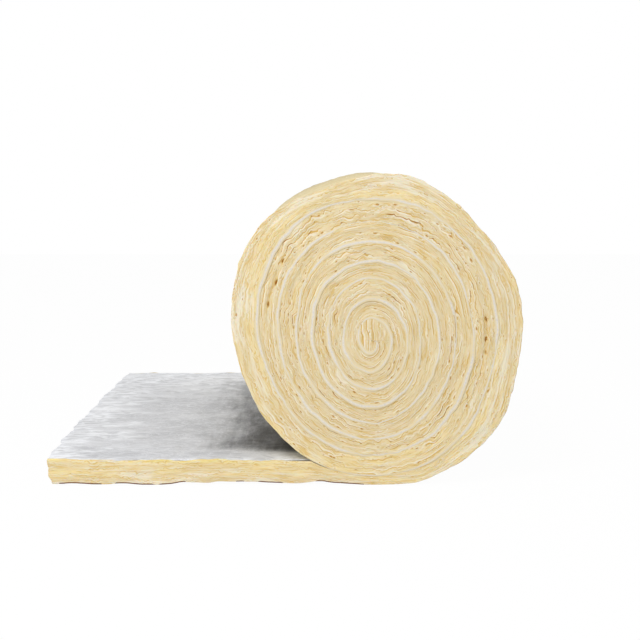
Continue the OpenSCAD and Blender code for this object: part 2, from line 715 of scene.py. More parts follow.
@dataclass
class Waviness:
    """Uneven lie of the turns, the flat facing and the cut end.

    A number added to a place only picks another part of the same pattern.

    Attributes:
        seed: First of the numbers that pick the patterns.
        path: Cross lines of the blanket.
        half_w: Half the blanket's width.
        skin_h: Height of the dents in the outermost turn.
        turn_h: Distance by which the turns inside the roll stray.
        broad: Size of the broad strays, along a turn and over the width.
        short: Size of the short strays.
        kink: Size of the kinks.
        end_h: Distance by which turns stand in or out at the ends.
        end_l: Length over which they do.
        cut_h: Raggedness of the cut end.
        cut_w: Width of its ragged tufts.
        cut_bow: Distance by which the middle of the cut end bows out.
        lift_h: Height to which the underside's edge lifts off the floor.
        lift_l: Length of the waves of that edge.
        lift_w: Width of the strip that lifts.
        tuft_h: Height to which tufts of wool stand over the flat facing's edges.
        tuft_l: Length of those tufts.
        rim_h: Distance by which tufts stand out of the roll's rim.
        rim_l: Length of those tufts.
        sheet_rise: Height of the flat facing over its plane.
        sheet_swell: Height, length and width of its broad swells.
        sheet_dent: Height, length and width of its dents.
        sheet_crinkle: Height, length and width of its short crinkles.
        dents: Turn, half width in turns and depth of each dent in the outermost turn, or bulge below 0.
    """

    seed: int
    path: BlanketPath
    half_w: float
    skin_h: float = 0.0021
    turn_h: float = 0.0034
    broad: Pair = (0.13, 0.16)
    short: Pair = (0.040, 0.07)
    kink: Pair = (0.017, 0.03)
    end_h: float = 0.0004
    end_l: float = 0.55
    cut_h: float = 0.0060
    cut_w: float = 0.075
    cut_bow: float = 0.008
    lift_h: float = 0.009
    lift_l: float = 0.05
    lift_w: float = 0.06
    tuft_h: float = 0.0030
    tuft_l: float = 0.055
    rim_h: float = 0.0018
    rim_l: float = 0.020
    sheet_rise: float = 0.0012
    sheet_swell: Triple = (0.0014, 0.21, 0.17)
    sheet_dent: Triple = (0.0018, 0.085, 0.060)
    sheet_crinkle: Triple = (0.0008, 0.034, 0.028)
    dents: tuple[Triple, ...] = (
        (0.085, 0.045, 0.0095), (0.17, 0.025, -0.0045), (0.24, 0.045, 0.0018), (0.365, 0.045, 0.0110),
        (0.47, 0.028, -0.0020), (0.55, 0.060, 0.0150), (0.69, 0.050, 0.0025))
    noises: list[Noise] = field(init=False)
    turn_table: Array = field(init=False)
    run_table: Array = field(init=False)

    def __post_init__(self) -> None:
        """Makes the noises, and the table of lengths along the winding."""
        winding = self.path.winding
        self.noises = [Noise(self.seed + number) for number in range(5)]
        self.turn_table = np.linspace(0.0, winding.turns, 4000)
        steps = np.linalg.norm(np.diff(winding.point(self.turn_table), axis=0), axis=1)
        self.run_table = np.concatenate([[0.0], np.cumsum(steps)])

    @property
    def flat_l(self) -> float:
        """Length of the rolled-out end, from the cut to the nip."""
        return self.path.length[self.path.flat_count]

    def stray(self, n: Array, y: Array | float) -> Array:
        """Distance by which the winding at turn n strays towards the core, as noise along its run and width.

        Args:
            n: Turns from the outside.
            y: Y of the point.

        Returns:
            Distances, 0 where the blanket lies on the floor.
        """
        run, place = np.interp(n, self.turn_table, self.run_table), np.asarray(y)
        broad = self.noises[0].at(run / self.broad[0], place / self.broad[1] + 40.0)
        short = self.noises[1].at(run / self.short[0], place / self.short[1] + 40.0)
        kinks = self.noises[1].at(run / self.kink[0] + 90.0, place / self.kink[1] + 40.0)
        inside = ease(0.85, 1.25, n)
        size = self.skin_h * (1.0 - inside) + self.turn_h * inside
        free = ease(0.06, 0.22, n) * (1.0 - 0.75 * np.exp(-(((n - 1.0) / 0.12) ** 2)))
        bends = sum(depth * np.exp(-(((n - at) / half) ** 2)) for at, half, depth in self.dents)
        return size * free * (broad + 0.55 * short + 0.35 * kinks) + bends * ease(0.0, 0.03, n)

    def end_shift(self, length: Array, end: RollEnd) -> Array:
        """Distance by which the blanket's edge stands out of the end's plane, as noise along its length."""
        return self.end_h * self.noises[2].layered(length / self.end_l, 30.0 * end.value + 60.0, 2)

    def cut_shift(self, y: Array | float, share: Array | float) -> Array:
        """Distance by which the cut end stands out: a bow over the width, with ragged noise.

        Args:
            y: Y of the point.
            share: Share of the way from the floor to the facing.

        Returns:
            Distances towards -X.
        """
        place = np.asarray(y)
        bow = self.cut_bow * (1.0 - (place / self.half_w) ** 2)
        ragged = self.noises[3].layered(place / self.cut_w + 20.0, 2.5 * np.asarray(share), 3)
        return bow + self.cut_h * ragged

    def floor_lift(self, length: Array, y: Array | float) -> Array:
        """Height of the underside's edges above the floor: noise along the flat end, fading inwards.

        They lift most in the middle of the flat end, less below the roll and least at the cut.

        Args:
            length: Length along the blanket.
            y: Y of the point.

        Returns:
            Heights, 0 where the roll stands on its edge.
        """
        where = ease(0.22, 0.30, length) * (1.0 - 0.35 * ease(0.36, 0.50, length))
        where = where * ease(self.flat_l + 0.12, self.flat_l + 0.02, length)
        where = where + 0.28 * ease(0.19, 0.15, length)
        waves = np.clip(0.8 + 0.4 * self.noises[3].layered(length / self.lift_l, 120.0, 2), 0.0, 1.2)
        from_edge = self.half_w - np.abs(np.asarray(y))
        return self.lift_h * where * waves * np.exp(-((from_edge / self.lift_w) ** 2))

    def edge_tufts(self, length: Array, end: RollEnd, gap: float) -> Array:
        """Height by which tufts raise the flat wool's upper rim, as noise along its length, up to the nip.

        Args:
            length: Length along the blanket.
            end: Which end of the roll.
            gap: Distance from the wool's upper side to the facing.

        Returns:
            Heights over the wool's upper side.
        """
        raised = 0.35 if end is RollEnd.NEAR else -0.5
        noise = self.noises[2].layered(length / self.tuft_l + 7.0 * end.value, 170.0, 3)
        tufts = self.tuft_h * np.clip(raised + noise, -0.3, 1.0)
        return (gap + tufts) * ease(0.0, 0.06, self.flat_l - length)

    def rim_tufts(self, end: RollEnd) -> Array:
        """Distance by which tufts stand out of the roll's rim, as short noise along the outermost turn.

        Args:
            end: Which end of the roll.

        Returns:
            Distances at each cross line, 0 on the floor and past the nip.
        """
        turn, nip = self.path.turn, self.path.winding.nip()
        noise = self.noises[2].layered(self.path.length / self.rim_l, 210.0 + 9.0 * end.value, 2)
        free = ease(0.03, 0.10, turn) * ease(nip, nip - 0.08, turn)
        return self.rim_h * np.clip(noise, -0.5, 1.0) * free

    def facing_lift(self, x: Array, y: Array) -> Array:
        """Height of the flat facing's dents and crinkles: broad noise, pillows and short noise.

        Args:
            x: X of the points.
            y: Y of the points.

        Returns:
            Heights over the facing's plane.
        """
        noise = self.noises[4]
        height, length, width = self.sheet_swell
        swells = height * noise.at(x / length, y / width + 50.0)
        height, length, width = self.sheet_dent
        dents = height * (noise.pillows(x / length + 30.0, y / width + 50.0) - 0.5)
        height, length, width = self.sheet_crinkle
        crinkles = height * noise.layered(x / length + 60.0, y / width + 50.0, 2)
        return self.sheet_rise + swells + dents + crinkles


class Nodes:
    """Adds nodes to a material, world or node group and links them."""

    def __init__(self, tree: bpy.types.NodeTree) -> None:
        """Takes the tree to fill.

        Args:
            tree: Node tree of a material, world or group.
        """
        self.tree = tree

    @classmethod
    def of_material(cls, name: str) -> tuple[Material, "Nodes"]:
        """Makes an empty material.

        Args:
            name: Name of the material.

        Returns:
            The material, and its nodes to fill.
        """
        material = bpy.data.materials.new(name)
        material.use_nodes = True
        material.node_tree.nodes.clear()
        return material, cls(material.node_tree)

    def add(self, kind: str, settings: dict | None = None, **inputs: object) -> bpy.types.Node:
        """Adds a node.

        Args:
            kind: Type of the node, without the words ShaderNode.
            settings: Properties of the node.
            **inputs: A value or an output socket for each input, with _ for a space in its name.

        Returns:
            The new node.
        """
        node = self.tree.nodes.new(kind if kind.startswith("Node") else f"ShaderNode{kind}")
        for name, value in (settings or {}).items():
            setattr(node, name, value)
        for name, value in inputs.items():
            self.feed(node.inputs[name.replace("_", " ")], value)
        return node

    def feed(self, socket: Socket, value: object) -> None:
        """Links an output socket to an input, or sets the input to a value.

        Args:
            socket: Input to feed.
            value: Output socket, or the value itself.
        """
        if isinstance(value, bpy.types.NodeSocket):
            self.tree.links.new(value, socket)
        else:
            socket.default_value = value

    def feed_in_order(self, node: bpy.types.Node, *values: object) -> None:
        """Feeds a node's first inputs, one value or output socket each."""
        for socket, value in zip(node.inputs, values):
            self.feed(socket, value)

    def math(self, operation: str, first: object, second: object = 0.0, clamp: bool = False) -> Socket:
        """One operation on numbers.

        Args:
            operation: Name of the operation.
            first: First number or socket.
            second: Second number or socket.
            clamp: Whether the result is kept between 0 and 1.

        Returns:
            The result's socket.
        """
        node = self.add("Math", {"operation": operation, "use_clamp": clamp})
        self.feed_in_order(node, first, second)
        return node.outputs[0]

    def plus(self, first: object, second: object) -> Socket:
        """Sum of two numbers."""
        return self.math("ADD", first, second)

    def minus(self, first: object, second: object) -> Socket:
        """Difference of two numbers."""
        return self.math("SUBTRACT", first, second)

    def times(self, first: object, second: object) -> Socket:
        """Product of two numbers."""
        return self.math("MULTIPLY", first, second)

    def larger(self, first: object, second: object) -> Socket:
        """The larger of two numbers."""
        return self.math("MAXIMUM", first, second)

    def apart(self, first: object, second: object) -> Socket:
        """Distance between two numbers."""
        return self.math("ABSOLUTE", self.minus(first, second))

    def span(self, value: object, low: float, high: float, start: float = 0.0, end: float = 1.0) -> Socket:
        """Maps a range of a value smoothly to another.

        Args:
            value: Value or socket.
            low: Value that gives start.
            high: Value that gives end.
            start: First result.
            end: Last result.

        Returns:
            The result's socket.
        """
        node = self.add("MapRange", {"interpolation_type": "SMOOTHSTEP"})
        self.feed_in_order(node, value, low, high, start, end)
        return node.outputs[0]

    def coats(self, base: Colour, *coats: tuple[Socket, Colour]) -> Socket:
        """Lays colours over each other.

        Args:
            base: Colour at the bottom.
            *coats: Share and colour of each coat, from the bottom up.

        Returns:
            Socket of the colour that results.
        """
        colour = base
        for share, coat in coats:
            node = self.add("Mix", {"data_type": "RGBA"})
            for number, value in ((0, share), (6, colour), (7, coat)):
                self.feed(node.inputs[number], value)
            colour = node.outputs[2]
        return colour

    def plane_noise(self, u: object, v: object, cells: Pair, detail: float, rough: float = 0.5) -> Socket:
        """Noise over two coordinates.

        Args:
            u: First coordinate.
            v: Second coordinate.
            cells: Number of cells to one unit of each coordinate.
            detail: Number of finer layers.
            rough: Strength of each finer layer.

        Returns:
            Socket of values from 0 to 1.
        """
        place = self.add("CombineXYZ", X=self.times(u, cells[0]), Y=self.times(v, cells[1]))
        noise = self.add("TexNoise", {"noise_dimensions": "2D"}, Vector=place.outputs[0], Scale=1.0,
                         Detail=detail, Roughness=rough)
        return noise.outputs[0]

    def value_of(self, name: UvName) -> Socket:
        """Socket of one of the piece's own attributes."""
        return self.add("Attribute", {"attribute_name": name.value}).outputs["Fac"]

    def parts(self, vector: Socket) -> tuple[Socket, Socket]:
        """Sockets of a vector's X and Y."""
        return tuple(self.add("SeparateXYZ", Vector=vector).outputs[:2])

    def blanket_uv(self) -> Socket:
        """Socket of the blanket's UV map."""
        return self.add("UVMap", {"uv_map": UvName.BLANKET.value}).outputs[0]

    def finish(self, relief: Socket, bump: float, strength: float = 1.0, **inputs: object) -> None:
        """Ends a material with a Principled shader over a bump map.

        Args:
            relief: Height for the bump map, in shares of bump.
            bump: Height that a relief of 1 stands for.
            strength: Strength of the bump map.
            **inputs: A value or an output socket for each input of the shader, with _ for a space.
        """
        normal = self.add("Bump", Height=relief, Distance=bump, Strength=strength).outputs[0]
        shader = self.add("BsdfPrincipled", Normal=normal, **inputs)
        self.add("OutputMaterial", Surface=shader.outputs[0])

    def mix_shaders(self, share: Socket, first: bpy.types.Node, second: bpy.types.Node) -> Socket:
        """Mixes two shaders.

        Args:
            share: Share of the second shader.
            first: Node of the first shader.
            second: Node of the second shader.

        Returns:
            Socket of the mixed shader.
        """
        node = self.add("MixShader")
        self.feed_in_order(node, share, first.outputs[0], second.outputs[0])
        return node.outputs[0]


class LayerGroup:
    """Node group of thin wool layers along X, with curls, pits and loose fibres in them.

    The place is first turned round the middle of some cells of a Voronoi pattern, most of all in the
    middle, so that the layers and fibres curl up there. A curl has a pit in its middle, with a rim beside it.
    """

    NAME = "thin_wool_layers"
    INPUTS = ("Spacing", "Waver", "Curl")
    OUTPUTS = ("Creases", "Lips", "Pits", "Rims", "Light", "Dark")
    CURLS = 62.0

    @classmethod
    def tree(cls) -> bpy.types.NodeTree:
        """The group, made on its first use.

        Returns:
            A tree with the inputs Vector, Spacing, Waver and Curl. Its outputs are masks of the creases,
            their lips, the pits, the pits' rims, and the light and dark fibres.
        """
        if cls.NAME in bpy.data.node_groups:
            return bpy.data.node_groups[cls.NAME]
        tree = bpy.data.node_groups.new(cls.NAME, "ShaderNodeTree")
        tree.interface.new_socket("Vector", in_out="INPUT", socket_type="NodeSocketVector")
        for side, names in (("INPUT", cls.INPUTS), ("OUTPUT", cls.OUTPUTS)):
            for name in names:
                tree.interface.new_socket(name, in_out=side, socket_type="NodeSocketFloat")
        nodes = Nodes(tree)
        given = nodes.add("NodeGroupInput").outputs
        cells = nodes.add("TexVoronoi", {"voronoi_dimensions": "2D"}, Vector=given["Vector"],
                          Scale=cls.CURLS, Randomness=0.8).outputs
        picks = nodes.add("SeparateColor", Color=cells["Color"]).outputs
        sense = nodes.minus(nodes.span(picks[0], 0.62, 0.75), nodes.span(picks[0], 0.38, 0.25))
        near = nodes.span(cells["Distance"], 0.40, 0.02)
        angle = nodes.times(nodes.times(sense, near), given["Curl"])
        curled = nodes.add("VectorRotate", {"rotation_type": "Z_AXIS"}, Vector=given["Vector"],
                           Center=cells["Position"], Angle=angle)
        u, v = nodes.parts(curled.outputs[0])
        tilt = nodes.minus(nodes.plane_noise(u, v, (55.0, 90.0), 1.0), 0.5)
        pit_size = nodes.span(picks[1], 0.2, 1.0, 0.0008, 0.0020)
        spot, middle = nodes.parts(given["Vector"]), nodes.parts(cells["Position"])
        pits, rims = cls.pits(nodes, spot, middle, pit_size, tilt)
        shown = nodes.times(nodes.math("ABSOLUTE", sense), nodes.span(picks[2], 0.2, 0.5))
        level = nodes.math("DIVIDE", v, given["Spacing"])
        masks = (*cls.layers(nodes, u, level, given["Waver"]), nodes.times(pits, shown),
                 nodes.times(rims, shown), *cls.fibres(nodes, u, v, tilt))
        nodes.feed_in_order(nodes.add("NodeGroupOutput"), *masks)
        return tree

    @staticmethod
    def layers(nodes: Nodes, u: Socket, level: Socket, waver: Socket) -> tuple[Socket, Socket]:
        """Masks of the layers: a saw-tooth over the level, swayed by noise and nicked by the noise's lobes.

        Args:
            nodes: Nodes of the group.
            u: Length along the layers.
            level: Place across them, counted in layers.
            waver: How far they sway, in layers.

        Returns:
            Sockets of the creases and of the lips beside them, in the patches where both show.
        """
        sway = nodes.plane_noise(u, level, (24.0, 0.45), 3.0, 0.6)
        lobes = nodes.apart(nodes.plane_noise(u, level, (62.0, 0.35), 0.0), 0.5)
        shift = nodes.minus(nodes.times(sway, 2.2), nodes.times(lobes, 2.4))
        inward = nodes.math("FRACT", nodes.plus(level, nodes.times(shift, waver)))
        clear = nodes.span(nodes.plane_noise(u, level, (26.0, 0.6), 2.0), 0.46, 0.60)
        crease = nodes.larger(nodes.span(inward, 0.04, 0.20, 1.0, 0.0), nodes.span(inward, 0.80, 0.98))
        lip = nodes.span(nodes.apart(inward, 0.34), 0.06, 0.24, 1.0, 0.0)
        return nodes.times(crease, clear), nodes.times(lip, clear)

    @staticmethod
    def fibres(nodes: Nodes, u: Socket, v: Socket, tilt: Socket) -> tuple[Socket, Socket]:
        """Masks of the fibres: two noises, drawn out along the layers and tilted a little.

        Args:
            nodes: Nodes of the group.
            u: Length along the layers.
            v: Place across them.
            tilt: Noise that tilts the fibres.

        Returns:
            Sockets of the light and of the dark fibres.
        """
        cross = nodes.times(nodes.plus(v, nodes.times(tilt, 0.007)), 360.0)
        light = nodes.plane_noise(u, cross, (27.0, 1.0), 2.0, 0.6)
        dark = nodes.plane_noise(u, nodes.plus(cross, 57.0), (27.0, 1.0), 2.0, 0.6)
        return nodes.span(light, 0.47, 0.68), nodes.span(dark, 0.47, 0.68)

    @staticmethod
    def pits(nodes: Nodes, spot: tuple[Socket, Socket], middle: tuple[Socket, Socket], size: Socket,
             tilt: Socket) -> tuple[Socket, Socket]:
        """Masks of the pits: the distance from a cell's middle, less along the layers, made uneven by noise.

        Args:
            nodes: Nodes of the group.
            spot: Place along and across the layers.
            middle: The same of the cell's middle.
            size: Half the width of the cell's pit.
            tilt: Noise that makes the pits uneven.

        Returns:
            Sockets of the pits and of the rims on their inner side.
        """
        beside = nodes.times(nodes.minus(spot[0], middle[0]), 0.45)
        inner = nodes.minus(spot[1], middle[1])
        squares = nodes.plus(nodes.times(beside, beside), nodes.times(inner, inner))
        off = nodes.math("DIVIDE", nodes.math("SQRT", squares), size)
        off = nodes.plus(off, nodes.times(tilt, 1.6))
        rims = nodes.span(nodes.apart(off, 1.9), 0.35, 0.9, 1.0, 0.0)
        pits = nodes.math("SUBTRACT", 1.0, off, clamp=True)
        return pits, nodes.times(rims, nodes.span(inner, 0.0, 0.0010))


@dataclass(frozen=True)
class WoolFinish:
    """Matte glass wool in thin layers.

    Attributes:
        name: Name of the material.
        cream: Main colour.
        pale: Colour of loose fibre.
        lip: Colour of the painted highlight on the lips of the layers, and of the pits' rims.
        ochre: Colour of the dark fibres and smudges, and of the painted shade in the creases and tears.
        deep: Colour of the painted shade in a crease that gapes, and of the pits.
        brown: Colour of the pits and nicks, and of the painted shade in the tears.
        skin: Colour of the underside's brown skin, dark enough to serve also as a painted shadow line under
            its edge.
        warm: Colour of the warm tint.
        yellow: Colour of the wool beside the flat facing.
        spacing: Thickness of a thin layer.
        waver: How far the thin layers sway, in layers.
        curl: Angle by which the fibres turn in a curl.
        bump: Height of the lips of the thin layers.
    """

    name: str
    cream: Colour = srgb(223, 206, 167)
    pale: Colour = srgb(232, 224, 201)
    lip: Colour = srgb(237, 229, 208)
    ochre: Colour = srgb(211, 176, 97)
    deep: Colour = srgb(190, 138, 44)
    brown: Colour = srgb(150, 92, 14)
    skin: Colour = srgb(104, 50, 18)
    warm: Colour = srgb(237, 218, 164)
    yellow: Colour = srgb(236, 220, 140)
    spacing: float = 0.0062
    waver: float = 1.0
    curl: float = 2.4
    bump: float = 0.0002

    def material(self) -> Material:
        """Builds the material.

        Returns:
            A material that reads the blanket's UV map and the attributes of its relief.
        """
        material, nodes = Nodes.of_material(self.name)
        u, v = nodes.parts(nodes.blanket_uv())
        seam, gap, pit, pale, warm, across, crumple = (nodes.value_of(name) for name in UvName.of_relief())
        straight = nodes.add("CombineXYZ", X=u, Y=across).outputs[0]
        thin = nodes.add("Group", {"node_tree": LayerGroup.tree()}, Vector=straight, Spacing=self.spacing,
                         Waver=self.waver, Curl=nodes.times(crumple, self.curl))
        creases, lips, pits, rims, light, dark = thin.outputs

        layer = nodes.math("DIVIDE", v, WoolGrain.LAYER_T)
        inward = nodes.minus(layer, nodes.math("ROUND", layer))
        off_crease = nodes.math("ABSOLUTE", inward)
        # Painted highlight: the pale lip on the core side of each crease.
        lip = nodes.larger(nodes.span(seam, 0.0, 0.6), nodes.span(pale, 0.6, 1.0, 0.0, 0.7))
        lip = nodes.times(nodes.span(nodes.apart(inward, 0.20), 0.05, 0.18, 1.0, 0.0), lip)
        # Painted shade: the ochre line along each crease, and the deep colour where it gapes.
        line = nodes.times(nodes.span(off_crease, 0.02, 0.12, 0.9, 0.0), seam)
        slit = nodes.larger(gap, nodes.times(seam, 0.45))
        slit = nodes.times(nodes.span(off_crease, 0.01, 0.09, 0.68, 0.0), slit)
        noise_streaks = nodes.span(nodes.plane_noise(u, v, (22.0, 170.0), 2.0), 0.56, 0.72)
        noise_streaks = nodes.times(noise_streaks, nodes.span(crumple, 0.05, 0.5, 0.30, 0.6))
        curls = nodes.span(crumple, 0.10, 0.50)
        pits = nodes.math("MULTIPLY", nodes.times(pits, 1.8), curls, clamp=True)
        tip = nodes.span(nodes.apart(seam, 0.35), 0.06, 0.16, 0.6, 0.0)
        tip = nodes.times(tip, nodes.span(crumple, 0.3, 0.7))
        tip = nodes.larger(tip, nodes.times(nodes.span(pit, 0.40, 0.80), seam))
        hole = nodes.times(nodes.span(off_crease, 0.03, 0.12, 1.0, 0.0), tip)
        # Painted shade in the tears: ochre in the furrow, brown in its pits.
        torn = nodes.times(nodes.value_of(UvName.TEAR), nodes.span(dark, 0.0, 1.0, 0.75, 1.15))
        colour = nodes.coats(
            self.cream,
            (nodes.span(warm, 0.0, 1.0, 0.0, 0.8), self.warm),
            (nodes.span(warm, 0.9, 1.5, 0.0, 0.75), self.yellow),
            (nodes.times(light, 0.52), self.pale),
            (nodes.times(dark, 0.46), self.ochre),
            # Painted highlight on the lips of the thin layers.
            (nodes.times(lips, nodes.span(pale, 0.0, 1.0, 0.2, 0.85)), self.pale),
            (nodes.span(pale, 0.9, 1.4, 0.0, 0.8), self.pale),
            # Painted shade in the creases of the thin layers.
            (nodes.times(creases, nodes.span(crumple, 0.0, 0.4, 0.68, 0.42)), self.ochre),
            (nodes.times(lip, nodes.span(pale, 0.1, 0.8, 0.30, 0.88)), self.lip),
            (line, self.ochre),
            (slit, self.deep),
            (noise_streaks, self.ochre),
            (nodes.times(rims, nodes.times(curls, 0.7)), self.lip),
            (nodes.times(pits, 0.75), self.deep),
            (nodes.span(pits, 0.6, 1.0, 0.0, 0.25), self.brown),
            (nodes.times(hole, 0.75), self.brown),
            (nodes.span(torn, 0.15, 0.55, 0.0, 0.70), self.ochre),
            (nodes.span(torn, 0.45, 0.75, 0.0, 0.95), self.brown),
            # The underside's brown skin, which also serves as a painted shadow line along the bottom edge.
            (nodes.span(pit, 1.05, 1.5, 0.0, 0.95), self.skin))
        relief = nodes.plus(nodes.minus(lips, creases), nodes.minus(light, dark))
        nodes.finish(relief, self.bump, Base_Color=colour, Roughness=0.95, Specular_IOR_Level=0.1,
                     Subsurface_Weight=0.3, Subsurface_Radius=(1.0, 0.65, 0.3), Subsurface_Scale=0.002)
        return material


@dataclass(frozen=True)
class SkinFinish:
    """Outer side of the wool: loose fibres that lie in all directions, in soft cloudy tufts.

    Attributes:
        name: Name of the material.
        cream: Main colour.
        pale: Colour of the strands on top.
        yellow: Colour between the tufts.
        strand_turns: Angles at which the strands lie.
        bump: Height of the tufts.
    """

    name: str
    cream: Colour = srgb(228, 213, 170)
    pale: Colour = srgb(237, 228, 200)
    yellow: Colour = srgb(217, 193, 136)
    strand_turns: tuple[float, ...] = (0.15, 0.95, 1.75, 2.6)
    bump: float = 0.0016

    def material(self) -> Material:
        """Builds the material.

        Returns:
            A material that reads the blanket's UV map: its length and its width, in metres.
        """
        material, nodes = Nodes.of_material(self.name)
        place = nodes.blanket_uv()
        u, v = nodes.parts(place)
        clouds = nodes.plane_noise(u, v, (7.0, 13.0), 3.0)
        tufts = nodes.add("TexNoise", {"noise_dimensions": "2D"}, Vector=place, Scale=42.0, Detail=4.0,
                          Roughness=0.62, Distortion=1.2).outputs[0]
        strands = 0.0
        for turn in self.strand_turns:
            turned = nodes.add("VectorRotate", {"rotation_type": "Z_AXIS"}, Vector=place, Angle=turn)
            noise = nodes.plane_noise(*nodes.parts(turned.outputs[0]), (30.0, 240.0), 2.0, 0.6)
            strands = nodes.larger(strands, nodes.span(noise, 0.52, 0.75))
        colour = nodes.coats(
            self.cream,
            (nodes.span(clouds, 0.35, 0.70, 0.0, 0.45), self.yellow),
            (nodes.span(tufts, 0.52, 0.30, 0.0, 0.6), self.yellow),
            (nodes.times(strands, 0.6), self.pale))
        height = nodes.plus(tufts, nodes.times(strands, 0.25))
        nodes.finish(height, self.bump, Base_Color=colour, Roughness=0.95, Specular_IOR_Level=0.1)
        return material


@dataclass(frozen=True)
class FoilFinish:
    """Satin foil with fine crinkles, with painted shadow under the roll and painted sheen and highlights on
    it.

    Attributes:
        name: Name of the material.
        bright: Colour of the raised crinkles.
        grey: Main colour.
        white: Colour of the fray, and of the painted sheen and painted highlights.
        dark: Colour of the painted shadow deep under the roll.
        metal: How metallic it is, from 0 to 1.
        rough: Roughness of the smooth foil.
        bump: Depth of the fine crinkles.
        crinkle_stretch: Scale along X, Y and Z of the pattern of crinkles.
        shade_streak_stretch: Scale along X, Y and Z of the streaks in the painted shadow below the roll.
    """

    name: str
    bright: Colour = srgb(208, 209, 213)
    grey: Colour = srgb(187, 188, 192)
    white: Colour = srgb(246, 248, 252)
    dark: Colour = srgb(48, 48, 49)
    metal: float = 0.35
    rough: float = 0.48
    bump: float = 0.0012
    crinkle_stretch: Triple = (0.45, 1.0, 1.0)
    shade_streak_stretch: Triple = (1.0, 0.20, 1.0)

    def material(self) -> Material:
        """Builds the material.

        Returns:
            A material with crinkles on the piece's Object coordinates, which reads its painted shade, fray
            and painted sheen.
        """
        material, nodes = Nodes.of_material(self.name)
        place = nodes.add("TexCoord").outputs["Object"]

        def noise(stretch: Triple, **inputs: float) -> Socket:
            """Noise over the place, stretched along the axes."""
            stretched = nodes.add("Mapping", Vector=place, Scale=stretch)
            return nodes.add("TexNoise", Vector=stretched.outputs[0], **inputs).outputs[0]

        fine = noise(self.crinkle_stretch, Scale=60.0, Detail=5.0, Roughness=0.65, Distortion=0.8)
        broad = noise(self.crinkle_stretch, Scale=14.0, Detail=3.0, Roughness=0.6)
        shade_streak_noise = noise(self.shade_streak_stretch, Scale=26.0, Detail=6.0, Roughness=0.7, Distortion=0.1)
        ridges = nodes.apart(fine, 0.5)
        # Painted shadow: the shade attribute, streaked by noise, darkens the colour towards dark grey under
        # the roll.
        hidden = nodes.value_of(UvName.SHADE)
        noise_streaks = nodes.times(nodes.minus(shade_streak_noise, 0.5), nodes.span(hidden, 0.15, 0.7, 0.0, 0.85))
        shade = nodes.span(nodes.plus(hidden, noise_streaks), 0.35, 1.0)
        # Fray, painted sheen and painted highlight from the pale attribute over fine noise, and painted
        # glints on the crests of the crinkles.
        fray_sheen_and_glints = nodes.times(nodes.value_of(UvName.PALE), nodes.span(fine, 0.38, 0.60, 0.2, 1.0))
        fray_sheen_and_glints = nodes.larger(fray_sheen_and_glints, nodes.span(ridges, 0.0, 0.05, 0.45, 0.0))
        colour = nodes.coats(
            self.grey,
            (nodes.span(broad, 0.35, 0.7), self.bright),
            (fray_sheen_and_glints, self.white),
            (nodes.times(shade, 0.95), self.dark))
        rough = nodes.plus(self.rough - 0.08, nodes.times(broad, 0.22))
        relief = nodes.minus(nodes.times(broad, 1.5), nodes.times(ridges, 1.2))
        nodes.finish(relief, self.bump, Base_Color=colour, Roughness=rough, Metallic=self.metal,
                     Specular_IOR_Level=0.2)
        return material


@dataclass(frozen=True)
class FacingEdgeFinish:
    """Crushed edge of the facing between two turns, whitish grey, with wool clinging to its sides.

    Attributes:
        name: Name of the material.
        light: Main colour.
        grey: Colour of the bare foil in it.
        wool: Colour of the wool at its sides.
        bump: Height of its grain.
    """

    name: str
    light: Colour = srgb(226, 221, 212)
    grey: Colour = srgb(213, 207, 199)
    wool: Colour = srgb(223, 207, 169)
    bump: float = 0.0006

    def material(self) -> Material:
        """Builds the material.

        Returns:
            A material that reads the blanket's UV map, with V from -1 to 1 over the edge.
        """
        material, nodes = Nodes.of_material(self.name)
        u, v = nodes.parts(nodes.blanket_uv())
        patches = nodes.plane_noise(u, v, (190.0, 1.6), 3.0, 0.65)
        stretches = nodes.plane_noise(u, 0.5, (18.0, 1.0), 1.0)
        side = nodes.plus(nodes.math("ABSOLUTE", v), nodes.times(patches, 0.9))
        side = nodes.plus(side, nodes.span(stretches, 0.48, 0.74, 0.0, 0.32))
        colour = nodes.coats(
            self.grey,
            (nodes.span(patches, 0.35, 0.65), self.light),
            (nodes.span(side, 0.50, 1.20), self.wool))
        nodes.finish(patches, self.bump, 0.8, Base_Color=colour, Roughness=0.9, Specular_IOR_Level=0.1)
        return material


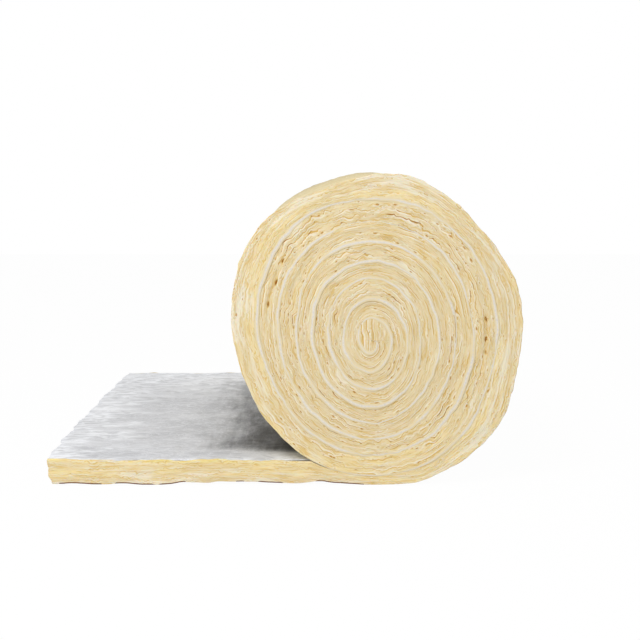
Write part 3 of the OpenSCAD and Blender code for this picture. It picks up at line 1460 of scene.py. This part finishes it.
@dataclass
class WoolBlanket:
    """The glass wool: one closed strip from the cut end to the core.

    Attributes:
        path: Cross lines of the blanket.
        grain: Relief of its ends.
        waviness: Uneven lie of its turns.
        half_w: Half its width.
        near_count: Cells across the near end.
        far_count: Cells across the far end, half of near_count.
        width_count: Cells over the width of the outer side.
        flat_gap: Distance that the wool keeps below the flat facing.
        wound_gap: Distance that it keeps from the wound facing.
        lip_w: Width of the lip of wool that stands up beside the flat facing.
        cut_fade: Number of cross lines over which the ragged cut end fades.
        cut_crush: How crumpled the wool is at the cut end, from 0 to 1.
        end_sink: Distance that the ends keep behind the blanket's width.
        rim_sink: Further distance at the flat wool's upper rim.
        skin_t: Thickness of the brown skin on the underside.
        low_warmth_z: Heights at which the warm tint of the roll's lower part starts and is full.
        dense: Most times as many layers that squeezed wool has in the same thickness.
        tears: Places of the near end where the wool has torn.
    """

    path: BlanketPath
    grain: WoolGrain
    waviness: Waviness
    half_w: float
    near_count: int = 26
    far_count: int = 13
    width_count: int = 36
    flat_gap: float = 0.0030
    wound_gap: float = 0.0006
    lip_w: float = 0.008
    cut_fade: int = 12
    cut_crush: float = 0.3
    end_sink: float = 0.001
    rim_sink: float = 0.0015
    skin_t: float = 0.0034
    low_warmth_z: Pair = (0.16, 0.03)
    dense: float = 1.45
    tears: tuple[Tear, ...] = (
        Tear(1.680, 0.55, 0.042, 0.0045, 0.0025, 0.55), Tear(1.645, 0.52, 0.0070, 0.0030),
        Tear(1.675, 0.62, 0.0090, 0.0042), Tear(1.708, 0.50, 0.0075, 0.0042),
        Tear(1.250, 0.46, 0.036, 0.0045, 0.0025, 0.55), Tear(1.270, 0.44, 0.0070, 0.0034),
        Tear(1.246, 0.48, 0.0085, 0.0038), Tear(1.230, 0.44, 0.0065, 0.0030))
    NODE = "wool_blanket"
    END, SKIN = 0, 1
    FAR_PATTERN = 63.4

    def side_points(self, y: Array | float) -> tuple[Array, Array]:
        """X and Z of both sides at one Y, with the stray of the turns.

        Args:
            y: Y of the section.

        Returns:
            Points of the outer side and of the facing's side.
        """
        path, n = self.path, self.path.turn
        outer = path.outer + path.across * self.waviness.stray(np.maximum(n, 0.0), y)[:, None]
        outer[:, 1] += self.waviness.floor_lift(path.length, y)
        inner_n = np.minimum(np.maximum(n, 0.0) + 1.0, path.winding.turns)
        faced = (np.arange(len(n)) >= path.flat_count) & (n + 1.0 < path.winding.turns)
        wound = ease(0.0, 0.05, path.length - path.length[path.flat_count])
        gap = self.flat_gap + (self.wound_gap - self.flat_gap) * wound
        stray = np.where(faced, self.waviness.stray(inner_n, y), 0.0)
        inner = path.inner + path.across * (stray - gap)[:, None]
        return outer, inner

    def cut_pull(self, y: Array | float, share: Array | float, rows: int) -> Array:
        """Distance by which cross lines near the cut end move out with it, fading along the blanket."""
        fade = np.clip(1.0 - np.arange(rows) / self.cut_fade, 0.0, 1.0) ** 2
        return fade[:, None] * self.waviness.cut_shift(y, share)

    def torn(self, share: Array) -> tuple[Array, Array]:
        """Depth and painted shade of the tears: for each, a bell over its length times a bell over its width.

        Args:
            share: Share of the way across, by cross line and column.

        Returns:
            Depths, and the painted shade from 0 to 1.
        """
        path, depth, dark = self.path, np.zeros(share.shape), np.zeros(share.shape)
        for tear in self.tears:
            along = (path.length - np.interp(tear.turn, path.turn, path.length))[:, None] / tear.half_l
            across = (share - tear.share) * path.thickness[:, None] / tear.half_w
            bell = np.exp(-(along ** 2) - across ** 2)
            depth = np.maximum(depth, tear.depth * bell)
            dark = np.maximum(dark, tear.dark * bell)
        return depth, dark

    def end_plane(self, end: RollEnd, share: Array) -> Array:
        """X and Z of an end: straight cross lines from side to side, with tufts on the flat and round rims.

        Args:
            end: Which end.
            share: Share of the way across, by cross line and column.

        Returns:
            X and Z in the last axis.
        """
        path = self.path
        outer, inner = self.side_points(end.value * self.half_w)
        flat = outer[:, None, :] + (inner - outer)[:, None, :] * share[..., None]
        raised = self.waviness.edge_tufts(path.length, end, self.flat_gap)[:, None]
        flat[..., 1] += raised * ease(0.6, 1.0, share)
        tufts = self.waviness.rim_tufts(end)[:, None] * ease(0.12, 0.0, share)
        return flat - path.across[:, None, :] * tufts[..., None]

    def end_relief(self, end: RollEnd, share: Array, flat: Array) -> Relief:
        """Relief of an end, by the place along and across the blanket, and by X and Z in the core.

        Args:
            end: Which end.
            share: Share of the way across, by cross line and column.
            flat: X and Z of each point.

        Returns:
            The relief at each point.
        """
        path, turn, thickness = self.path, self.path.turn, self.path.thickness[:, None]
        core = (turn + 1.0 > path.winding.turns)[:, None]
        across = share * thickness
        edge = np.minimum(across, np.where(core, 1.0, thickness - across))
        along = np.where(core, flat[..., 1], path.length[:, None])
        if end is RollEnd.FAR:
            along = along + self.FAR_PATTERN
        crush = ease(-0.25, 0.10, turn) * (0.3 + 0.7 * ease(0.75, 1.15, turn))
        calm = np.exp(-(((turn + 1.0 - path.winding.turns) / 0.05) ** 2))
        skin = np.exp(-((across / self.skin_t) ** 2)) * ease(0.05, -0.05, turn)[:, None]
        # Warmer and paler towards the bottom of the roll.
        low_warmth = ease(*self.low_warmth_z, flat[..., 1]) * ease(-0.05, 0.10, turn)[:, None]
        squeezed = np.clip(path.winding.blanket_t / np.maximum(thickness, 0.001), 1.0, self.dense)
        place = np.where(core, flat[..., 0], across * squeezed)
        return self.grain.relief(along, place, edge, crush[:, None], calm[:, None], skin, low_warmth)

    def end_grid(self, surface: Surface, end: RollEnd, count: int) -> tuple[Array, Array]:
        """One end: a grid over its plane, closer at the rims, with the relief and the tears along Y.

        Args:
            surface: Surface that gets the points.
            end: Which end.
            count: Cells across the blanket.

        Returns:
            Point numbers by cross line and place across, and their UV.
        """
        path = self.path
        even = np.linspace(0.0, 1.0, count + 1)
        spaced = 0.25 * (0.5 - 0.5 * np.cos(np.pi * even)) + 0.75 * even
        share = np.tile(spaced, (len(path.length), 1))
        flat = self.end_plane(end, share)
        relief = self.end_relief(end, share, flat)
        depth, dark = self.torn(share) if end is RollEnd.NEAR else (0.0, 0.0)
        shift_at = np.minimum(path.length, np.interp(path.winding.turns - 1.0, path.turn, path.length))
        on_flat = ease(0.10, 0.0, path.length - path.length[path.flat_count])[:, None]
        stand = relief.height + self.waviness.end_shift(shift_at, end)[:, None] - self.end_sink
        stand = stand - self.rim_sink * ease(0.94, 1.0, share) * on_flat - depth
        points = np.stack([flat[..., 0], end.value * (self.half_w + stand), flat[..., 1]], axis=-1)
        points[..., 0] -= self.cut_pull(end.value * self.half_w, share, len(share))
        # The tear attribute holds the tears' painted shade.
        numbers = surface.add_points(points, tear=dark, **relief.values())
        return numbers, relief.uv

    def build(self, end_finish: Material, skin_finish: Material) -> bpy.types.Object:
        """Builds the strip: two ends, the outer side, the side under the facing and the cut end.

        Args:
            end_finish: Material of the ends and the cut end.
            skin_finish: Material of the outer side.

        Returns:
            The closed piece.
        """
        surface = Surface(self.NODE)
        near, near_uv = self.end_grid(surface, RollEnd.NEAR, self.near_count)
        far, far_uv = self.end_grid(surface, RollEnd.FAR, self.far_count)
        surface.add_grid(near, near_uv, self.END)
        surface.add_grid(far, far_uv, self.END, flip=True)
        outer = self.outer_grid(surface, near, far)
        inner = self.inner_grid(surface, near, far)
        self.add_cut_end(surface, near, far, outer, inner)
        surface.add_faces(np.concatenate([near[-1], far[-1][::-1]]), self.END)
        return surface.build([end_finish, skin_finish])

    def width_places(self) -> Array:
        """Y of the lines over the width: even between the lips at both ends.

        Returns:
            Values from the near end to the far end.
        """
        inside = self.half_w - self.lip_w
        even = np.linspace(-inside, inside, self.width_count - 1)
        return np.concatenate([[-self.half_w], even, [self.half_w]])

    def outer_grid(self, surface: Surface, near: Array, far: Array) -> Array:
        """Outer side: a fine grid from the cut end over the roll to the nip, then the part that is hidden.

        Args:
            surface: Surface that gets the points.
            near: Point numbers of the near end.
            far: Point numbers of the far end.

        Returns:
            Point numbers of the row at the cut end.
        """
        path, places = self.path, self.width_places()[1:-1]
        rows = int(np.searchsorted(path.turn, path.winding.nip() + 0.02))
        n = np.maximum(path.turn[:rows], 0.0)[:, None]
        stray = self.waviness.stray(n, places[None, :])
        flat = path.outer[:rows, None, :] + path.across[:rows, None, :] * stray[..., None]
        y = np.broadcast_to(places[None, :], flat.shape[:2])
        lift = self.waviness.floor_lift(path.length[:rows, None], places[None, :])
        points = np.stack([flat[..., 0], y, flat[..., 1] + lift], axis=-1)
        points[..., 0] -= self.cut_pull(places[None, :], 0.0, rows)
        numbers = surface.add_points(points)
        numbers = np.concatenate([near[:rows, :1], numbers, far[:rows, :1]], axis=1)
        uv = np.stack(np.broadcast_arrays(path.length[:rows, None], self.width_places()[None, :]), axis=-1)
        surface.add_grid(numbers, uv, self.SKIN, flip=True)
        edges = np.stack([near[rows:, 0], far[rows:, 0]], axis=1)
        self.close_side(surface, numbers[-1], edges, flip=True)
        return numbers[0]

    def inner_grid(self, surface: Surface, near: Array, far: Array) -> Array:
        """Side under the facing: a few rows of points at the cut end, then a strip between the two lips.

        Args:
            surface: Surface that gets the faces.
            near: Point numbers of the near end.
            far: Point numbers of the far end.

        Returns:
            Point numbers of the row at the cut end.
        """
        path, places, rows = self.path, self.width_places()[1:-1], self.cut_fade + 1
        flat = np.repeat(path.inner[:rows, None, :], len(places), axis=1)
        y = np.broadcast_to(places[None, :], flat.shape[:2])
        points = np.stack([flat[..., 0], y, flat[..., 1] - 1.5 * self.flat_gap], axis=-1)
        points[..., 0] -= self.cut_pull(places[None, :], 1.0, rows)
        numbers = surface.add_points(points)
        numbers = np.concatenate([near[:rows, -1:], numbers, far[:rows, -1:]], axis=1)
        uv = np.stack(np.broadcast_arrays(path.length[:rows, None], self.width_places()[None, :]), axis=-1)
        surface.add_grid(numbers, uv, self.END)
        lips = np.array([places[0], places[-1]])
        sides = np.stack([self.side_points(y)[1][rows:] for y in lips], axis=1)
        points = np.stack([sides[..., 0], np.broadcast_to(lips, sides.shape[:2]), sides[..., 1]], axis=-1)
        tucked = surface.add_points(points)
        edges = np.concatenate([near[rows:, -1:], tucked, far[rows:, -1:]], axis=1)
        self.close_side(surface, numbers[-1], edges, flip=False)
        return numbers[0]

    def close_side(self, surface: Surface, row: Array, edges: Array, flip: bool) -> None:
        """Closes a side that the turns hide, with long faces over the width at each step.

        Args:
            surface: Surface that gets the faces.
            row: Point numbers of the last fine row, which the first face joins.
            edges: Point numbers by cross line, from the one after that row on, and from near to far.
            flip: Whether the faces look outwards from the roll.
        """
        first = np.concatenate([row[::-1], edges[0]])
        surface.add_faces(first[::-1] if flip else first, self.SKIN)
        surface.add_grid(edges, None, self.SKIN, flip=flip)

    def add_cut_end(self, surface: Surface, near: Array, far: Array, low: Array, high: Array) -> None:
        """Cut end of the blanket: a ragged face over its width and thickness.

        Args:
            surface: Surface that gets the face.
            near: Point numbers of the near end.
            far: Point numbers of the far end.
            low: Point numbers along the floor.
            high: Point numbers along the facing.
        """
        path, thickness = self.path, self.path.thickness[0] - self.flat_gap
        grid_y, share = np.meshgrid(self.width_places(), np.linspace(0.0, 1.0, self.near_count + 1))
        flat = path.outer[0] + path.across[0] * (share * thickness)[..., None]
        edge = np.minimum(share, 1.0 - share) * thickness
        relief = self.grain.relief(grid_y + 80.0, share * thickness, edge, self.cut_crush)
        stand = self.waviness.cut_shift(grid_y, share) + 0.6 * relief.height * np.sin(np.pi * share)
        points = np.stack([flat[..., 0] - stand, grid_y, flat[..., 1]], axis=-1)
        inside = (slice(1, -1), slice(1, -1))
        middle = surface.add_points(points[inside], **relief.values(inside))
        numbers = np.concatenate([near[0, 1:-1, None], middle], axis=1)
        numbers = np.concatenate([low[None, :-1], numbers, high[None, :-1]], axis=0)
        surface.add_grid(numbers, relief.uv[:, :-1], self.END)
        last = numbers[:, -1]
        joined = np.stack([last[:-2:2], last[1:-1:2], last[2::2], far[0, 1:], far[0, :-1]], axis=1)
        surface.add_faces(joined, self.END)


@dataclass
class FoilFacing:
    """The foil facing: a crinkled sheet on the rolled-out end, wound on to the core.

    Attributes:
        path: Cross lines of the blanket.
        waviness: Uneven lie of its turns.
        half_w: Half its width.
        sheet_t: Thickness of the sheet.
        cell: Size of a cell of the flat sheet.
        overhang: Distance by which it stands out of the cut end.
        set_back: Distance by which its side edges lie behind the ends of the wool.
        edge_w: Width of its crushed edge between two turns.
        edge_depth: Depth of that edge, from its middle to its sides.
        edge_sink: Distance of that edge's middle behind the turn's level.
        edge_h: Height of its unevenness.
        edge_l: Length of its unevenness.
        tuck: Depth at which the sheet leaves that edge.
        bend_w: Width over which the flat sheet's side edges bend down.
        bend_h: Distance by which they do.
        bend_wave: Height of the waves of those edges.
        side_wave: Distance by which those edges stray sideways.
        cut_w: Width over which the sheet bends down at the cut end.
        cut_h: Distance by which it does.
    """

    path: BlanketPath
    waviness: Waviness
    half_w: float
    sheet_t: float = 0.0008
    cell: float = 0.0065
    overhang: float = 0.002
    set_back: float = 0.003
    edge_w: float = 0.0084
    edge_depth: float = 0.0005
    edge_sink: float = 0.0005
    edge_h: float = 0.0003
    edge_l: float = 0.08
    tuck: float = 0.012
    bend_w: float = 0.005
    bend_h: float = 0.0008
    bend_wave: float = 0.0010
    side_wave: float = 0.0015
    cut_w: float = 0.008
    cut_h: float = 0.0012
    NODE = "foil_facing"
    SHEET, EDGE = 0, 1

    def build(self, sheet_finish: Material, edge_finish: Material) -> bpy.types.Object:
        """Builds the sheet and the wound rest as one closed surface.

        Args:
            sheet_finish: Material of the flat sheet.
            edge_finish: Material of the edges between the turns.

        Returns:
            The closed piece.
        """
        surface = Surface(self.NODE)
        top, bottom, uv = self.flat_sheet(surface)
        surface.add_grid(top, uv, self.SHEET)
        surface.add_grid(bottom, uv, self.SHEET, flip=True)
        rims = ((bottom[0], top[0], True), (bottom[:, 0], top[:, 0], False),
                (bottom[:, -1], top[:, -1], True))
        for low, high, flip in rims:
            surface.add_grid(np.stack([low, high], axis=1), None, self.SHEET, flip=flip)
        rings, ring_uv = self.wound_rings(surface)
        closed = np.concatenate([rings, rings[:, :1]], axis=1)
        closed_uv = np.concatenate([ring_uv, ring_uv[:, :1]], axis=1)
        surface.add_grid(closed, closed_uv, self.EDGE)
        self.join(surface, top[-1], bottom[-1], rings[0])
        surface.add_faces(rings[-1][::-1], self.EDGE)
        return surface.build([sheet_finish, edge_finish])

    def flat_sheet(self, surface: Surface) -> tuple[Array, Array, Array]:
        """Flat part: a plane with dents, a ragged cut edge, and side edges that bend down to the wool.

        Args:
            surface: Surface that gets the points.

        Returns:
            Point numbers of its upper and lower side, and their UV.
        """
        winding = self.path.winding
        nip_x = float(winding.point(winding.nip())[0])
        rows = round((nip_x - winding.cut_x) / self.cell)
        columns = round(2.0 * self.half_w / self.cell)
        even = np.linspace(-1.0, 1.0, columns + 1)
        reach = self.half_w - self.set_back
        y_line = reach * (0.9 * even + 0.1 * np.sin(0.5 * np.pi * even))
        along, y = np.meshgrid(np.linspace(0.0, 1.0, rows + 1), y_line, indexing="ij")
        start = winding.cut_x - self.overhang - self.waviness.cut_shift(y, 1.0)
        straight = winding.cut_x + along * (nip_x - winding.cut_x)
        x = straight + (start - winding.cut_x) * np.clip(1.0 - along * 6.0, 0.0, 1.0) ** 2
        to_nip = ease(0.0, 0.10, nip_x - straight)
        edge = np.exp(-(((reach - np.abs(y)) / self.bend_w) ** 2))
        cut = np.exp(-(((straight - winding.cut_x) / self.cut_w) ** 2))
        lift = self.waviness.facing_lift(x, y) * to_nip * (1.0 - edge)
        waves = self.waviness.noises[2].layered(x / 0.045, np.sign(y) * 25.0 + 140.0, 2)
        droop = (self.bend_h - self.bend_wave * waves) * edge * to_nip
        z = winding.blanket_t + lift - droop - self.cut_h * cut * (1.0 - edge)
        strays = self.waviness.noises[3].layered(x / 0.05, np.sign(y) * 20.0 + 60.0, 2)
        points = np.stack([x, y + np.sign(y) * self.side_wave * strays * edge, z], axis=-1)
        # Painted shade: the roll's shadow on the sheet, and a darker band on the bent side edges that damps
        # their highlight.
        shade = np.maximum(self.roll_shade(straight, y, nip_x), 0.62 * edge)
        # The pale attribute holds the fray and the painted sheen and highlights.
        top = surface.add_points(points, shade=shade, pale=self.fray_and_painted_sheen(straight, y, nip_x))
        bottom = surface.add_points(points - [0.0, 0.0, self.sheet_t])
        return top, bottom, np.stack([x, y], axis=-1)

    def roll_shade(self, x: Array, y: Array, nip_x: float) -> Array:
        """How much of the sky over the flat sheet the roll hides, as for a round roll on the nip.

        Seen from a spot, the roll fills the angle 2 atan(r / d) up from the sheet, for its half height
        r and the distance d to the nip. The open sky that is left is (1 + cos) / 2 of that angle.

        Args:
            x: X of the spots.
            y: Y of the spots.
            nip_x: X of the nip.

        Returns:
            Values from 0 in the open to 1 in the nip, fading at both ends of the roll.
        """
        half_h = 0.5 * float(self.path.winding.height(0.5))
        angle = 2.0 * np.arctan2(half_h, np.maximum(nip_x - x, 1e-4))
        hidden = 1.0 - (1.0 + np.cos(angle)) / 1.44
        ends = ease(0.01, 0.13, y + self.half_w) * ease(-0.05, 0.20, self.half_w - y)
        return np.clip(hidden, 0.0, 1.0) * ends

    def fray_and_painted_sheen(self, x: Array, y: Array, nip_x: float) -> Array:
        """Fray and painted light on the flat sheet: at the near edge by the nip, at the far edge and at the
        cut edge.

        Args:
            x: X of the spots.
            y: Y of the spots.
            nip_x: X of the nip.

        Returns:
            Values from 0 to 1.
        """
        noise = self.waviness.noises[4].layered(x / 0.05 + 11.0, y / 0.03 + 77.0, 3)
        # Near edge by the nip: white fray, and painted light that lifts the shade there. Far edge: painted
        # sheen. Cut edge: painted highlight.
        fray_and_painted_light = ease(-0.02, 0.06, 0.07 + 0.03 * noise - (y + self.half_w)) * ease(0.22, 0.06, nip_x - x)
        far = 0.95 * ease(0.05, 0.55, y + 0.1 * noise)
        cut = 0.90 * ease(0.19, 0.0, x - self.path.winding.cut_x + 0.08 * noise)
        return np.clip(np.maximum(np.maximum(fray_and_painted_light, far), cut), 0.0, 1.0)

    def wound_rings(self, surface: Surface) -> tuple[Array, Array]:
        """Wound part: at each step a thin ring round the sheet, with a rounded edge at both ends.

        The edge is a parabola, as wide as the crushed facing, tilted from one turn's level to the next.

        Args:
            surface: Surface that gets the points.

        Returns:
            Point numbers and UV of the rings.
        """
        path = self.path
        keep = (np.arange(len(path.turn)) >= path.flat_count) & (path.turn + 1.0 < path.winding.turns)
        n, length = path.turn[keep] + 1.0, path.length[keep]
        next_length = np.interp(n, path.turn, path.length)
        outward, base = -path.across[keep], path.inner[keep]
        grow = ease(0.0, 0.50, length - length[0])
        across = np.array([-1.0, -1.0, -0.7, -0.35, 0.0, 0.35, 0.7, 1.0, 1.0])
        parts, uvs = [], []
        for end in RollEnd:
            vary = self.waviness.noises[2].layered(length / self.edge_l, 90.0 + 5.0 * end.value, 2)
            width = self.edge_w * np.clip(1.0 + 0.35 * vary, 0.5, 1.5) * (0.2 + 0.8 * grow)
            centre = base - outward * self.waviness.stray(n, end.value * self.half_w)[:, None]
            outside, inside = (self.waviness.end_shift(at, end)[:, None] for at in (length, next_length))
            offset = 0.5 * width[:, None] * across
            offset[:, [0, -1]] = 0.5 * self.sheet_t * across[[0, -1]]
            depth = self.edge_sink + self.edge_depth * across ** 2
            depth[[0, -1]] = self.tuck
            flat = centre[:, None, :] - outward[:, None, :] * offset[..., None]
            out = outside + (inside - outside) * (0.5 + 0.5 * across)
            y = end.value * (self.half_w + out + self.edge_h * vary[:, None] - depth)
            points = np.stack([flat[..., 0], y, flat[..., 1]], axis=-1)
            uv = np.stack(np.broadcast_arrays(length[:, None], across), axis=-1)
            order = slice(None) if end is RollEnd.NEAR else slice(None, None, -1)
            parts.append(points[:, order])
            uvs.append(uv[:, order])
        numbers = surface.add_points(np.concatenate(parts, axis=1))
        return numbers, np.concatenate(uvs, axis=1)

    def join(self, surface: Surface, top: Array, bottom: Array, ring: Array) -> None:
        """Joins the flat sheet's last row to the first ring, inside the nip.

        Args:
            surface: Surface that gets the faces.
            top: Point numbers of the sheet's upper side at the nip.
            bottom: Point numbers of its lower side.
            ring: Point numbers of the first ring: near edge, then far edge.
        """
        near, far = np.split(ring, 2)
        upper = np.concatenate([top[::-1], [near[-1], far[0]]])
        lower = np.concatenate([bottom, [far[-1], near[0]]])
        near_rim = np.concatenate([[bottom[0]], near, [top[0]]])
        far_rim = np.concatenate([[top[-1]], far, [bottom[-1]]])
        for face in (upper, lower, near_rim, far_rim):
            surface.add_faces(face, self.EDGE)


@dataclass(frozen=True)
class Studio:
    """Pale floor, soft light and the camera.

    Attributes:
        eye: Place of the camera.
        pitch_deg: Angle by which it looks down.
        lens_px: Focal length in pixels of a picture 640 pixels wide.
        sky: Strength of the even light from all sides.
        key_w: Power of the soft lamp in front, above and to the left, in watts.
        key_place: Where the lamp stands.
        key_target: Where it points.
        key_size: Side of the lamp.
        floor_size: Side of the floor.
        floor_z: Height of the floor.
        floor_grey: How much light the floor throws back, from 0 to 1.
        floor_white: Share of plain white in the floor that the camera sees.
    """

    eye: Triple = (0.0708, -3.331, 0.628)
    pitch_deg: float = 6.19
    lens_px: float = 1390.5
    sky: float = 0.54
    key_w: float = 108.0
    key_place: Triple = (-1.2, -2.9, 3.4)
    key_target: Triple = (0.1, -0.4, 0.3)
    key_size: float = 1.8
    floor_size: float = 14.0
    floor_z: float = -0.0005
    floor_grey: float = 0.93
    floor_white: float = 0.975
    PICTURE_PX = 640
    SENSOR_MM = 36.0
    WHITE = (1.0, 1.0, 1.0, 1.0)

    def build(self) -> None:
        """Makes the camera, the lamp, the world and the floor."""
        scene = bpy.context.scene
        scene.view_settings.view_transform = "Standard"
        data = bpy.data.cameras.new("camera")
        data.sensor_width = self.SENSOR_MM
        data.lens = self.SENSOR_MM * self.lens_px / self.PICTURE_PX
        camera = bpy.data.objects.new("camera", data)
        camera.location = self.eye
        camera.rotation_euler = (math.radians(90.0 - self.pitch_deg), 0.0, 0.0)
        scene.collection.objects.link(camera)
        scene.camera = camera
        self.lamp()
        self.world()
        self.floor()

    def lamp(self) -> None:
        """Square soft lamp, turned to its target."""
        data = bpy.data.lights.new("key", "AREA")
        data.energy = self.key_w
        data.size = self.key_size
        lamp = bpy.data.objects.new("key", data)
        lamp.location = self.key_place
        away = np.array(self.key_place) - np.array(self.key_target)
        turn = math.atan2(away[0], -away[1])
        tilt = math.atan2(math.hypot(away[0], away[1]), away[2])
        lamp.rotation_euler = (tilt, 0.0, turn)
        bpy.context.scene.collection.objects.link(lamp)

    def world(self) -> None:
        """Even white light, which the camera sees as plain white."""
        world = bpy.data.worlds.new("studio")
        bpy.context.scene.world = world
        world.use_nodes = True
        world.node_tree.nodes.clear()
        nodes = Nodes(world.node_tree)
        light = nodes.add("Background", Color=self.WHITE, Strength=self.sky)
        white = nodes.add("Background", Color=self.WHITE, Strength=1.0)
        nodes.add("OutputWorld", Surface=nodes.mix_shaders(self.seen_rays(nodes), light, white))

    @staticmethod
    def seen_rays(nodes: Nodes) -> Socket:
        """Picks rays from the camera, and rays that gloss or glass sends on.

        Args:
            nodes: Nodes of the world or the material.

        Returns:
            Socket that is 1 for such a ray, else 0.
        """
        rays = nodes.add("LightPath").outputs
        seen = nodes.larger(rays["Is Camera Ray"], rays["Is Glossy Ray"])
        return nodes.larger(seen, rays["Is Transmission Ray"])

    def floor(self) -> None:
        """Plain pale floor that keeps a soft shadow."""
        half = 0.5 * self.floor_size
        x, y = np.meshgrid([-half, half], [-half, half], indexing="ij")
        surface = Surface("floor")
        numbers = surface.add_points(np.stack([x, y, np.full_like(x, self.floor_z)], axis=-1))
        surface.add_grid(numbers, np.stack([x, y], axis=-1))
        material, nodes = Nodes.of_material("pale_floor")
        matte = nodes.add("BsdfDiffuse", Color=(self.floor_grey, self.floor_grey, self.floor_grey, 1.0))
        white = nodes.add("Emission", Color=self.WHITE, Strength=1.0)
        share = nodes.times(self.seen_rays(nodes), self.floor_white)
        nodes.add("OutputMaterial", Surface=nodes.mix_shaders(share, matte, white))
        surface.build([material])


def main() -> None:
    """Builds the studio, the wool and the facing."""
    logging.basicConfig(level=logging.INFO, format="%(message)s")
    foil_low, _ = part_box(FoilFacing.NODE)
    wool_low, wool_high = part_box(WoolBlanket.NODE)
    winding = Winding(cut_x=float(foil_low[0]))
    half_w = 0.5 * float(wool_high[1] - wool_low[1])
    path = BlanketPath(winding, step=0.0044)
    waviness = Waviness(seed=40, path=path, half_w=half_w)
    Studio().build()

    wool = WoolBlanket(path, WoolGrain(seed=11), waviness, half_w)
    wool_piece = wool.build(WoolFinish("wool_end").material(), SkinFinish("wool_skin").material())
    facing = FoilFacing(path, waviness, half_w)
    edge_finish = FacingEdgeFinish("facing_edge").material()
    facing_piece = facing.build(FoilFinish("foil_sheet").material(), edge_finish)
    for piece, slot in ((wool_piece, "wool"), (facing_piece, "foil")):
        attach(piece, "root")
        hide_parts(piece.name.split(".")[0])
        mesh = piece.data
        triangles = len(mesh.loops) - 2 * len(mesh.polygons)
        LOG.info("%s: %d points, %d triangles", piece.name, len(mesh.vertices), triangles)
    LOG.info("facing: %.2f m long before it was wound up", path.facing_run)


if __name__ == "__main__":
    main()
